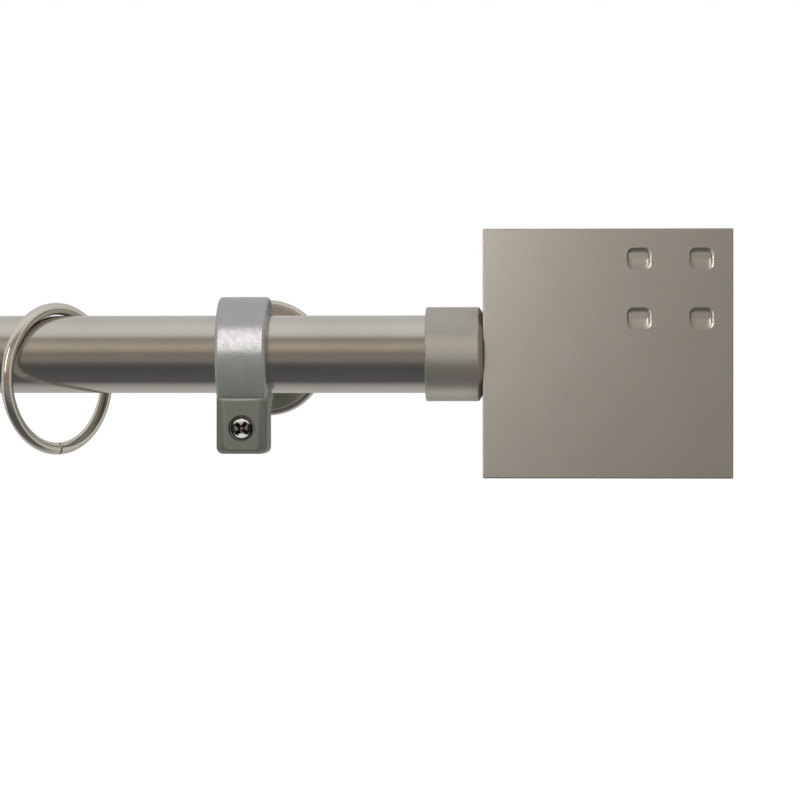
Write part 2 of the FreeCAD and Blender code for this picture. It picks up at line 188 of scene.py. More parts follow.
def pick(piece: Piece, kind: str, test: Callable[[object], bool]) -> None:
    """Select the vertices, edges or faces of the edited piece that pass a test.

    Args:
        piece: The piece, in edit mode.
        kind: One of "verts", "edges" and "faces".
        test: Given one element of the mesh, says whether it is wanted.
    """
    bpy.ops.mesh.select_all(action="DESELECT")
    mesh = bmesh.from_edit_mesh(piece.data)
    for element in filter(test, getattr(mesh, kind)):
        element.select_set(True)
    bmesh.update_edit_mesh(piece.data)


def face_outwards() -> None:
    """Turn every face of the edited piece outwards."""
    bpy.ops.mesh.select_all(action="SELECT")
    bpy.ops.mesh.normals_make_consistent(inside=False)


def extrude(step: Vector) -> None:
    """Extrude what is selected of the edited piece by one step."""
    bpy.ops.mesh.extrude_region_move(TRANSFORM_OT_translate={"value": step})


def bevel(width: float, steps: int = 3) -> None:
    """Round the selected edges of the edited piece."""
    bpy.ops.mesh.bevel(offset_type="OFFSET", offset=width, segments=steps, affect="EDGES",
                       clamp_overlap=True)


def turned(name: str, corners: Sequence[Corner], axis: Axis, base: Vector, closed: bool = True,
           sides: int = ROD_SIDES) -> Piece:
    """Turn a profile about an axis by extruding a ring of vertices from corner to corner.

    Args:
        name: The new object's name.
        corners: Corners (along the axis, radius, rounding), in millimetres.
        axis: The axis that the profile turns about.
        base: The point on the axis that the corners are measured from.
        closed: True for a pierced piece, whose last corner joins the first, and False for a
            piece that is capped at both ends.
        sides: How many flats stand for the round.

    Returns:
        The turned piece.
    """
    first_along, first_radius, _ = corners[0]
    piece = start(bpy.ops.mesh.primitive_circle_add, name, vertices=sides,
                  radius=first_radius * MM, fill_type="NOTHING" if closed else "NGON",
                  location=base + axis.direction * first_along * MM, rotation=axis.turn)
    with editing(piece):
        bpy.ops.mesh.select_all(action="SELECT")
        for (along, radius, _), (next_along, next_radius, _) in zip(corners, corners[1:]):
            extrude(axis.direction * (next_along - along) * MM)
            bpy.ops.transform.resize(value=axis.scale_across(next_radius / radius),
                                     center_override=base + axis.direction * next_along * MM)
        if closed:
            pick(piece, "edges", lambda edge: edge.is_boundary)
            bpy.ops.mesh.bridge_edge_loops()
        face_outwards()
    for along, radius, rounding in corners:
        if rounding > 0:
            round_ring(piece, axis, base, (along * MM, radius * MM), rounding * MM)
    return piece


def round_ring(piece: Piece, axis: Axis, base: Vector, corner: tuple[float, float],
               rounding: float) -> None:
    """Round one corner of a turned piece, all the way round its axis."""
    def on_corner(vert: bmesh.types.BMVert) -> bool:
        along = (vert.co - base).dot(axis.direction)
        radius = (vert.co - base - axis.direction * along).length
        return abs(along - corner[0]) < NEAR and abs(radius - corner[1]) < NEAR

    with editing(piece, "EDGE"):
        pick(piece, "edges", lambda edge: all(on_corner(vert) for vert in edge.verts))
        bevel(rounding)


def block(name: str, low: Vector, high: Vector) -> Piece:
    """Add a block between two corners."""
    return start(bpy.ops.mesh.primitive_cube_add, name, size=1.0, location=(low + high) / 2,
                 scale=high - low)


def prism(name: str, outline: Sequence[tuple[float, float]], centre: Vector,
          half_width: float) -> Piece:
    """Extrude an outline, seen along the rod, to both sides of a place along it.

    Args:
        name: The new object's name.
        outline: Corners (forward of the rod's axis, height), in millimetres.
        centre: The point of the rod's axis that the outline is measured from.
        half_width: How far the prism reaches to each side, in millimetres.

    Returns:
        The prism.
    """
    side = centre - Vector((half_width * MM, 0, 0))
    piece = start(bpy.ops.mesh.primitive_circle_add, name, vertices=len(outline), radius=MM,
                  fill_type="NGON", location=side, rotation=(0, math.pi / 2, 0))
    with editing(piece):
        for index, (forward, height) in enumerate(outline):
            pick(piece, "verts", lambda vert, wanted=index: vert.index == wanted)
            place = side + Vector((0, -forward * MM, height * MM))
            mesh = bmesh.from_edit_mesh(piece.data)
            mesh.verts.ensure_lookup_table()
            bpy.ops.transform.translate(value=place - mesh.verts[index].co)
        bpy.ops.mesh.select_all(action="SELECT")
        extrude(Vector((2 * half_width * MM, 0, 0)))
        face_outwards()
    return piece


def combine(piece: Piece, tool: Piece, operation: str) -> None:
    """Join, cut or intersect a piece with a tool solid, and throw the tool away."""
    only(piece)
    bpy.ops.object.modifier_add(type="BOOLEAN")
    modifier = piece.modifiers[-1]
    modifier.operation = operation
    modifier.solver = "EXACT"
    modifier.object = tool
    bpy.ops.object.modifier_apply(modifier=modifier.name)
    bpy.data.objects.remove(tool)


def drill(piece: Piece, corners: Sequence[Corner], axis: Axis, base: Vector,
          sides: int = HOLE_SIDES) -> None:
    """Cut a round hole in a piece, with its profile given as for a turned piece."""
    combine(piece, turned("drill", corners, axis, base, closed=False, sides=sides), "DIFFERENCE")


def smooth(piece: Piece, angle: float = 32.0) -> None:
    """Shade a piece smooth up to an angle, with its flat faces kept flat."""
    only(piece)
    bpy.ops.object.shade_smooth_by_angle(angle=math.radians(angle))
    bpy.ops.object.modifier_add(type="WEIGHTED_NORMAL")
    piece.modifiers[-1].keep_sharp = True
    bpy.ops.object.modifier_apply(modifier=piece.modifiers[-1].name)


def copied(piece: Piece, name: str, move: Matrix) -> Piece:
    """Copy a piece with a mesh of its own, moved by a matrix that is baked in."""
    twin = piece.copy()
    twin.data = piece.data.copy()
    twin.name = name
    twin.data.name = name
    bpy.context.scene.collection.objects.link(twin)
    twin.matrix_world = move
    only(twin)
    bpy.ops.object.transform_apply(location=True, rotation=True, scale=True)
    return twin


class Wiring:
    """A node tree in the making: it adds nodes, sets their values and joins their sockets."""

    def __init__(self, tree: bpy.types.NodeTree) -> None:
        """Take the tree that is to be filled."""
        self.tree = tree

    def add(self, kind: str, inputs: dict[str | int, object] | None = None,
            **settings: object) -> bpy.types.Node:
        """Add a node.

        Args:
            kind: The node's type, without "ShaderNode" before it.
            inputs: A value, or another node's output, for each input that gets one.
            settings: The node's own properties.

        Returns:
            The new node.
        """
        node = self.tree.nodes.new(f"ShaderNode{kind}")
        for name, value in settings.items():
            setattr(node, name, value)
        for name, value in (inputs or {}).items():
            self.feed(node, name, value)
        return node

    def feed(self, node: bpy.types.Node, name: str | int, value: object) -> None:
        """Set one input of a node, or join another node's output to it."""
        if isinstance(value, Socket):
            self.tree.links.new(value, node.inputs[name])
        else:
            node.inputs[name].default_value = value

    def work(self, operation: str, *values: float | Socket) -> Socket:
        """Add a sum on node values and numbers, and give its result."""
        return self.add("Math", dict(enumerate(values)), operation=operation).outputs["Value"]

    def parts(self, vector: Socket) -> bpy.types.bpy_prop_collection:
        """Split a vector, and give its X, its Y and its Z by their names."""
        return self.add("SeparateXYZ", {"Vector": vector}).outputs

    def fade(self, value: Socket, nothing: float, full: float, most: float = 1.0,
             least: float = 0.0) -> Socket:
        """Fade a value in, from the least where it passes one level to the most at another."""
        levels = {"Value": value, "From Min": nothing, "From Max": full, "To Min": least,
                  "To Max": most}
        return self.add("MapRange", levels).outputs["Result"]

    def ramp(self, share: Socket, stops: Sequence[tuple[float, Colour]]) -> Socket:
        """Colour a share from 0 to 1 by stops (share, colour), in rising order."""
        node = self.add("ValToRGB", {"Fac": share})
        elements = node.color_ramp.elements
        elements.remove(elements[-1])
        elements[0].position = stops[0][0]
        elements[0].color = (*stops[0][1], 1.0)
        for position, colour in stops[1:]:
            elements.new(position).color = (*colour, 1.0)
        return node.outputs["Color"]

    def blend(self, share: float | Socket, under: Socket, over: Colour | Socket,
              how: str = "MIX") -> Socket:
        """Blend a second colour over a first one, by a share from 0 to 1."""
        colour = over if isinstance(over, Socket) else (*over, 1.0)
        node = self.add("Mix", {"Factor": share, "A": under, "B": colour}, data_type="RGBA",
                        blend_type=how)
        return node.outputs["Result"]


class Skin(Wiring):
    """The wiring of a new material, with its shader and the place that its textures read."""

    def __init__(self, name: str) -> None:
        """Add the material, with nothing joined to its shader yet."""
        self.material = bpy.data.materials.new(name)
        self.material.use_nodes = True
        super().__init__(self.material.node_tree)
        self.shader = self.tree.nodes["Principled BSDF"]
        self.place = self.add("TexCoord").outputs["Object"]

    def give(self, name: str, value: object) -> None:
        """Set one input of the shader, or join a node's output to it."""
        self.feed(self.shader, name, value)

    def given(self, name: str) -> Socket:
        """Say which output is joined to an input of the shader."""
        return self.shader.inputs[name].links[0].from_socket

    def overpaint(self, share: Socket, colour: Colour) -> None:
        """Blend another colour over the base colour, as far as a share from 0 to 1 says."""
        self.give("Base Color", self.blend(share, self.given("Base Color"), colour))

    def emboss(self, depth: float, height: Socket) -> None:
        """Raise the surface by a height from 0 to 1 that stands for a depth in metres."""
        bump = self.add("Bump", {"Strength": 1.0, "Distance": depth, "Height": height})
        self.give("Normal", bump.outputs["Normal"])

    def steps(self, size: float, stretch: float = 1.0) -> Socket:
        """Count the place in steps of a size, which are longer along the rod if stretched."""
        counts = (1.0 / (size * stretch), 1.0 / size, 1.0 / size)
        return self.add("Mapping", {"Vector": self.place, "Scale": counts}).outputs["Vector"]

    def noise(self, size: float, detail: float, stretch: float = 1.0) -> Socket:
        """Add a noise whose features have a given size, drawn out along the rod if asked."""
        inputs = {"Vector": self.steps(size, stretch), "Scale": 1.0, "Detail": detail}
        return self.add("TexNoise", inputs).outputs["Fac"]


@dataclass(frozen=True)
class MetalFinish:
    """A metal surface: its colour, its gloss and the fine relief that its making left.

    Attributes:
        name: The material's name.
        grain: How the surface was worked.
        colour: The lighter of the two colours that the base colour drifts between.
        shade: The darker one.
        roughness: The roughness in the middle of its range.
        roughness_spread: How far the roughness wanders to each side.
        relief: The depth of the fine relief, in metres.
        grain_size: The size of the grain, in metres.
        patch_size: The size of the patches of the drifting colour, in metres.
        patch_share: How much of the patches' range the drift takes. Less is more abrupt.
        metal_share: How metallic the surface is, from 0 to 1.
    """

    name: str
    grain: Grain
    colour: Colour
    shade: Colour
    roughness: float
    roughness_spread: float
    relief: float = 0.0
    grain_size: float = 0.3 * MM
    patch_size: float = 14.0 * MM
    patch_share: float = 0.5
    metal_share: float = 1.0

    PATCH_DETAIL = 3.0
    GLOSS_DETAIL = 4.0
    GRAIN_DETAIL = 2.0
    GLOSS_SIZE = 6.0
    GLOSS_RANGE = (0.3, 0.7)
    GLOSS_DRAW = 40.0
    GRAIN_DRAW = 120.0
    PIT_SPACING = 1.6 * MM
    PIT_RIMS = (0.06, 0.22)
    PIT_DEPTH = 2.0

    def build(self) -> bpy.types.Material:
        """Build the material's nodes.

        Returns:
            The material, reading only Object coordinates.
        """
        skin = Skin(self.name)
        skin.give("Metallic", self.metal_share)
        self._paint(skin)
        self._gloss(skin)
        self._relief(skin)
        return skin.material

    def _paint(self, skin: Skin) -> None:
        """Give the base colour its slow drift between the metal's colour and its shade."""
        patches = skin.noise(self.patch_size, self.PATCH_DETAIL)
        half = self.patch_share / 2
        stops = ((0.5 - half, self.shade), (0.5 + half, self.colour))
        skin.give("Base Color", skin.ramp(patches, stops))

    def _gloss(self, skin: Skin) -> None:
        """Let the roughness wander a little about its middle value."""
        stretch = self.GLOSS_DRAW if self.grain is Grain.DRAWN else 1.0
        wander = skin.noise(self.grain_size * self.GLOSS_SIZE, self.GLOSS_DETAIL, stretch)
        rough = skin.fade(wander, *self.GLOSS_RANGE, self.roughness + self.roughness_spread,
                          self.roughness - self.roughness_spread)
        skin.give("Roughness", rough)

    def _relief(self, skin: Skin) -> None:
        """Add the fine relief: draw lines, bead-blasted grain, or casting skin with pits."""
        if self.grain is Grain.PLAIN:
            return
        stretch = self.GRAIN_DRAW if self.grain is Grain.DRAWN else 1.0
        height = skin.noise(self.grain_size, self.GRAIN_DETAIL, stretch)
        if self.grain is Grain.CAST:
            height = skin.work("ADD", self._pits(skin), height)
        skin.emboss(self.relief, height)

    def _pits(self, skin: Skin) -> Socket:
        """Give the depth of the round pits that are scattered over a casting's skin."""
        inputs = {"Vector": skin.steps(self.PIT_SPACING), "Scale": 1.0, "Randomness": 1.0}
        cells = skin.add("TexVoronoi", inputs).outputs["Distance"]
        return skin.fade(cells, *self.PIT_RIMS, 0.0, -self.PIT_DEPTH)


@dataclass(frozen=True)
class BracketFinish(MetalFinish):
    """A bracket casting with painted light and shade: a neutral crown, a belly painted lighter and
    greener, and a duller lug face painted darker as shade.

    Attributes:
        heights: The colour of the painted light and shade at each height, in millimetres above the
            rod's axis.
        lug_shade_colour: The colour of the painted shade on the front lug's face.
        lug_shade_fades: How the painted shade is bounded: an axis, where the paint starts, and
            where it is full.
        dull_fade: The heights that the added roughness grows between.
        lug_dulling: The roughness that is added on the lugs.
    """

    # Painted light and shade by height: the belly is lighter and greener than the crown.
    heights: tuple[tuple[float, Colour], ...] = (
        (-13.0, (0.330, 0.355, 0.308)),
        (-3.0, (0.338, 0.356, 0.331)),
        (4.0, (0.318, 0.318, 0.312)),
        (12.0, (0.320, 0.314, 0.318)),
    )
    # Painted shade on the front lug's face.
    lug_shade_colour: Colour = (0.129, 0.137, 0.113)
    lug_shade_fades: tuple[tuple[str, float, float], ...] = (
        ("Z", -13.7, -15.5),
        ("Z", -32.8, -30.8),
        ("Y", -93.5, -96.0),
    )
    dull_fade: tuple[float, float] = (-13.0, -15.4)
    lug_dulling: float = 0.16

    HEIGHT_RANGE = (-14.0, 14.0)

    def _paint(self, skin: Skin) -> None:
        """Multiply the base colour by painted light and shade that go with the height, and paint
        shade on the lug's face.
        """
        super()._paint(skin)
        parts = skin.parts(skin.place)
        low, high = self.HEIGHT_RANGE
        stops = [((height - low) / (high - low), colour) for height, colour in self.heights]
        # Painted light and shade by height, multiplied into the base colour.
        height_light_and_shade = skin.ramp(skin.fade(parts["Z"], low * MM, high * MM), stops)
        skin.give("Base Color", skin.blend(1.0, height_light_and_shade, skin.given("Base Color"), "MULTIPLY"))
        # Painted shade on the front lug's face, bounded above, below and in front.
        top, bottom, front = (skin.fade(parts[axis], nothing * MM, full * MM)
                              for axis, nothing, full in self.lug_shade_fades)
        face = skin.work("MULTIPLY", skin.work("MULTIPLY", top, bottom), front)
        skin.overpaint(face, self.lug_shade_colour)

    def _gloss(self, skin: Skin) -> None:
        """Add roughness towards the lugs."""
        super()._gloss(skin)
        nothing, full = self.dull_fade
        dull = skin.fade(skin.parts(skin.place)["Z"], nothing * MM, full * MM, self.lug_dulling)
        skin.give("Roughness", skin.work("ADD", dull, skin.given("Roughness")))


@dataclass(frozen=True)
class ScrewFinish(MetalFinish):
    """A polished screw with painted shade in its cross recess and at the head's two sides, and a
    painted highlight in the middle.

    Attributes:
        bay: How far the two screws are apart, so that one pattern serves both.
        drop: How far the screw's axis lies below the rod's.
        turn: How far the cross is turned, in degrees.
        wing: The width of the cross's wings.
        reach: Their length, from end to end.
        blur: How soft their outline is, to each side.
        painted_glint: How much the painted highlight lightens the middle.
        painted_glint_radius: The radius of the painted highlight in the middle.
        side_shade: How dark the painted shade at the head's two sides is.
        side_shade_across: Where the painted shade starts and is full, to each side of the screw's
            axis.
        side_shade_level: Where it ends and is full, above and below the axis.
        dark: The colour of the painted shade in the cross and at the head's two sides.
    """

    bay: float = 0.622
    drop: float = 24.2 * MM
    turn: float = 40.0
    wing: float = 1.35 * MM
    reach: float = 5.2 * MM
    blur: float = 0.10 * MM
    painted_glint: float = 0.7
    painted_glint_radius: float = 0.6 * MM
    side_shade: float = 1.0
    side_shade_across: tuple[float, float] = (1.1 * MM, 2.3 * MM)
    side_shade_level: tuple[float, float] = (2.2 * MM, 1.2 * MM)
    # The colour of the painted shade.
    dark: Colour = (0.025, 0.022, 0.02)

    def _paint(self, skin: Skin) -> None:
        """Paint shade into the base colour where the cross is and at the head's sides, on the
        right screw and the left one.
        """
        super()._paint(skin)
        # Painted shade in the cross recess and at the head's two sides.
        skin.overpaint(self._cross(skin), self.dark)

    def _cross(self, skin: Skin) -> Socket:
        """Give how much painted shade the cross and the head's two sides take, less a painted
        highlight in the middle, from 0 to 1.
        """
        parts = skin.parts(skin.place)
        across = skin.work("WRAP", parts["X"], self.bay / 2, -self.bay / 2)
        up = skin.work("ADD", parts["Z"], self.drop)
        flat = skin.add("CombineXYZ", {"X": across, "Z": up}).outputs["Vector"]
        rotated = skin.add("VectorRotate", {"Vector": flat, "Angle": math.radians(-self.turn)},
                           rotation_type="Y_AXIS")
        sides = skin.parts(rotated.outputs["Vector"])
        wings = []
        for narrow, long in (("X", "Z"), ("Z", "X")):
            within = [skin.fade(skin.work("ABSOLUTE", sides[axis]), half + self.blur,
                                half - self.blur)
                      for axis, half in ((narrow, self.wing / 2), (long, self.reach / 2))]
            wings.append(skin.work("MULTIPLY", *within))
        radius = skin.add("VectorMath", {0: flat}, operation="LENGTH").outputs["Value"]
        # Painted highlight: the middle of the cross is lightened.
        painted_glint = skin.fade(radius, self.painted_glint_radius, self.painted_glint_radius / 3, self.painted_glint)
        cross = skin.work("SUBTRACT", skin.work("MAXIMUM", *wings), painted_glint)
        # Painted shade at the head's two sides.
        beside = skin.fade(skin.work("ABSOLUTE", across), *self.side_shade_across, self.side_shade)
        level = skin.fade(skin.work("ABSOLUTE", up), *self.side_shade_level)
        return skin.work("MAXIMUM", cross, skin.work("MULTIPLY", beside, level))


@dataclass(frozen=True)
class NylonFinish:
    """A plain moulded nylon with a faint grain."""

    name: str = "grey_nylon_moulded"
    colour: Colour = (0.13, 0.13, 0.13)
    contrast: float = 0.15
    roughness: float = 0.5
    grain_size: float = 0.6 * MM
    detail: float = 2.0
    relief: float = 0.01 * MM

    def build(self) -> bpy.types.Material:
        """Build the material's nodes."""
        skin = Skin(self.name)
        skin.give("Roughness", self.roughness)
        grain = skin.noise(self.grain_size, self.detail)
        stops = [(share, tuple(part * level for part in self.colour))
                 for share, level in ((0.0, 1.0 - self.contrast), (1.0, 1.0 + self.contrast))]
        skin.give("Base Color", skin.ramp(grain, stops))
        skin.emboss(self.relief, grain)
        return skin.material


class Workshop:
    """Every finish of the rod, built once, and the fitting of a piece to the frame."""

    FINISHES = {
        "rod_nickel": MetalFinish(
            "rod_nickel_drawn", Grain.DRAWN, (0.52, 0.50, 0.46), (0.48, 0.46, 0.42),
            0.16, 0.03, 0.0012 * MM, 0.25 * MM),
        "collar_nickel": MetalFinish(
            "collar_nickel_turned", Grain.SATIN, (0.382, 0.366, 0.316), (0.357, 0.341, 0.291),
            0.37, 0.03, 0.002 * MM, 0.25 * MM, 14.0 * MM, 0.5, 0.72),
        "finial_nickel": MetalFinish(
            "finial_nickel_satin", Grain.SATIN, (0.297, 0.280, 0.247), (0.284, 0.267, 0.234),
            0.40, 0.02, 0.004 * MM, 0.22 * MM, 14.0 * MM, 0.5, 0.82),
        "bracket_cast": BracketFinish(
            "bracket_metal_cast", Grain.CAST, (1.0, 1.0, 1.0), (0.90, 0.90, 0.90),
            0.29, 0.05, 0.012 * MM, 0.35 * MM, 5.0 * MM, 0.5, 0.45),
        "bright_nickel": ScrewFinish(
            "screw_nickel_polished", Grain.POLISHED, (0.80, 0.78, 0.74), (0.76, 0.73, 0.68),
            0.05, 0.01, 0.002 * MM, 0.4 * MM),
        "plate_nickel": MetalFinish(
            "plate_nickel_polished", Grain.POLISHED, (0.55, 0.52, 0.47), (0.50, 0.47, 0.42),
            0.14, 0.03, 0.002 * MM, 0.3 * MM),
        "ring_nickel": MetalFinish(
            "ring_nickel_polished", Grain.POLISHED, (0.60, 0.57, 0.51), (0.54, 0.51, 0.45),
            0.12, 0.03, 0.002 * MM, 0.3 * MM),
        "plain_steel": MetalFinish(
            "fastener_steel_plain", Grain.PLAIN, (0.50, 0.50, 0.50), (0.42, 0.42, 0.42),
            0.35, 0.05),
        "plug_cast": MetalFinish(
            "plug_metal_cast", Grain.CAST, (0.45, 0.45, 0.44), (0.38, 0.38, 0.37),
            0.45, 0.06, 0.01 * MM, 0.4 * MM),
        "grey_nylon": NylonFinish(),
    }

    def __init__(self, frame: dict) -> None:
        """Build the finishes and remember which body each node rides on."""
        self.materials = {slot: finish.build() for slot, finish in self.FINISHES.items()}
        groups = frame["record"]["behaviour"]["bodies"]
        self.body_of = {node: body for body, members in groups.items() for node in members}
        self.slot_of = {name: node.data.materials[0].name for name, node in frame["nodes"].items()}

    def fit(self, piece: Piece, node: str, finish: str = "") -> None:
        """Put a finished piece in a node's place: its body, its slot and its finish.

        Args:
            piece: The finished piece.
            node: The frame node that it stands for.
            finish: Its finish, where that isn't the one named after the node's slot.
        """
        slot = self.slot_of[node]
        piece.data.materials.clear()
        piece.data.materials.append(self.materials[finish or slot])
        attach(piece, self.body_of[node])
        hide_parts(node)
        log.info("%s stands for %s, %d faces", piece.name, node, len(piece.data.polygons))

    def dress(self, name: str, node: Piece) -> None:
        """Give a frame node that stays its procedural finish."""
        node.data.materials[0] = self.materials[self.slot_of[name]]
        log.info("%s keeps its own mesh", name)


@dataclass
class RodTubes:
    """The two drawn tubes, one sliding in the other."""

    radii: tuple[tuple[str, float], ...] = (("outer_tube", 12.7), ("inner_tube", 11.1))
    wall: float = 0.8
    rim: float = 0.2

    def build(self, shop: Workshop) -> None:
        """Turn both tubes and fit them."""
        for node, radius in self.radii:
            low, high = span(node)
            length = (high.x - low.x) / MM
            bore = radius - self.wall
            tube = turned(f"{node}_drawn", [
                (0, bore, 0), (length, bore, 0), (length, radius, self.rim), (0, radius, self.rim),
            ], Axis.ROD_RIGHT, Vector((low.x, middle(node).y, 0)))
            smooth(tube)
            shop.fit(tube, node)


@dataclass
class Collar:
    """The collar between the rod and the finial at one end."""

    side: str
    axis: Axis
    radius: float = 15.4
    length: float = 17.3
    edge: float = 0.6
    socket_radius: float = 13.0
    socket_depth: float = 12.0
    socket_edge: float = 0.2
    neck_radius: float = 13.3
    neck_length: float = 1.4
    stud_hole_radius: float = 3.1

    def build(self, shop: Workshop) -> None:
        """Turn the collar, with its socket and its tapered neck, and fit it."""
        node = f"{self.side}_collar"
        low, high = span(node)
        mouth = low.x if self.axis is Axis.ROD_RIGHT else high.x
        end = self.length + self.neck_length
        collar = turned(f"{self.side}_collar_turned", [
            (0, self.socket_radius, self.socket_edge),
            (self.socket_depth, self.socket_radius, 0),
            (self.socket_depth, self.stud_hole_radius, 0),
            (end, self.stud_hole_radius, 0),
            (end, self.neck_radius, 0),
            (self.length, self.radius, self.edge / 2),
            (0, self.radius, self.edge),
        ], self.axis, Vector((mouth, middle(node).y, 0)))
        smooth(collar)
        shop.fit(collar, node, "collar_nickel")


@dataclass
class Finial:
    """The square casting with four dimples in the upper outer part of each face."""

    edge: float = 0.45
    edge_steps: int = 4
    smooth_angle: float = 25.0
    dimple_width: float = 7.9
    dimple_height: float = 7.3
    dimple_corner: float = 2.3
    dimple_corner_steps: int = 10
    clear: float = 0.5
    pitch_across: float = 20.1
    pitch_down: float = 19.3
    from_outer_edge: float = 10.2
    from_top: float = 9.8
    stud_hole_radius: float = 3.05
    stud_hole_depth: float = 18.0

    # How far the left, right, top and bottom wall have come in at each depth, in millimetres:
    # (depth, left, right, top, bottom).
    DIMPLE_WALLS = (
        (0.05, 0.04, 0.17, 0.12, 0.08),
        (0.15, 0.11, 0.48, 0.23, 0.22),
        (0.30, 0.18, 0.66, 0.38, 0.50),
        (0.50, 0.25, 0.78, 0.58, 1.20),
        (0.75, 0.33, 0.92, 0.90, 2.20),
        (0.90, 0.40, 1.02, 1.22, 2.95),
        (1.00, 0.50, 1.08, 1.70, 3.80),
    )

    def build(self, shop: Workshop) -> None:
        """Make the right finial, turn a copy end for end for the left one, and fit both."""
        node = "right_finial"
        low, high = span(node)
        casting = block("right_finial_casting", low, high)
        with editing(casting, "EDGE"):
            bpy.ops.mesh.select_all(action="SELECT")
            bevel(self.edge * MM, self.edge_steps)
        for column in range(2):
            for row in range(2):
                across = high.x - (self.from_outer_edge + column * self.pitch_across) * MM
                height = high.z - (self.from_top + row * self.pitch_down) * MM
                for face, inward in ((low.y, 1.0), (high.y, -1.0)):
                    cutter = self._dimple(Vector((across, face, height)), inward)
                    combine(casting, cutter, "DIFFERENCE")
        drill(casting, [
            (-PAST, self.stud_hole_radius, 0), (self.stud_hole_depth, self.stud_hole_radius, 0),
        ], Axis.ROD_RIGHT, Vector((low.x, middle(node).y, 0)))
        smooth(casting, self.smooth_angle)
        there = middle("left_finial")
        half_turn = Matrix.Rotation(math.pi, 4, "Z")
        move = Matrix.Translation(there) @ half_turn @ Matrix.Translation(-middle(node))
        twin = copied(casting, "left_finial_casting", move)
        shop.fit(casting, node)
        shop.fit(twin, "left_finial")

    def _dimple(self, centre: Vector, inward: float) -> Piece:
        """Make the solid that sinks one dimple, from the face down to its floor.

        Its left wall is tight, its right wall starts with a wide flat lip, its top is dished,
        and its bottom climbs gently to a short steep rim.

        Args:
            centre: The dimple's centre on the face.
            inward: The sign of Y that leads into the casting.

        Returns:
            The cutter.
        """
        approach = Vector((0, inward * self.clear * MM, 0))
        cutter = start(bpy.ops.mesh.primitive_plane_add, "dimple", size=1.0,
                       location=centre - approach, rotation=(math.pi / 2, 0, 0))
        with editing(cutter):
            bpy.ops.mesh.select_all(action="SELECT")
            bpy.ops.transform.resize(
                value=(self.dimple_width * MM, 1.0, self.dimple_height * MM),
                center_override=centre)
            bpy.ops.mesh.bevel(offset_type="OFFSET", segments=self.dimple_corner_steps,
                               affect="VERTICES", offset=self.dimple_corner * MM)
            extrude(approach)
            bpy.ops.mesh.select_mode(type="FACE")
            middle_at, width, height, level = centre, self.dimple_width, self.dimple_height, 0.0
            for depth, left, right, top, bottom in self.DIMPLE_WALLS:
                new_width = self.dimple_width - left - right
                new_height = self.dimple_height - top - bottom
                new_middle = centre + Vector(((left - right) / 2, 0, (bottom - top) / 2)) * MM
                step = Vector((0, inward * (depth - level) * MM, 0)) + new_middle - middle_at
                narrowing = width - new_width
                bpy.ops.mesh.inset(thickness=narrowing / 2 * MM, use_even_offset=True)
                bpy.ops.transform.translate(value=step)
                bpy.ops.transform.resize(value=(1.0, 1.0, new_height / (height - narrowing)),
                                         center_override=new_middle)
                middle_at, width, height, level = new_middle, new_width, new_height, depth
            face_outwards()
        return cutter


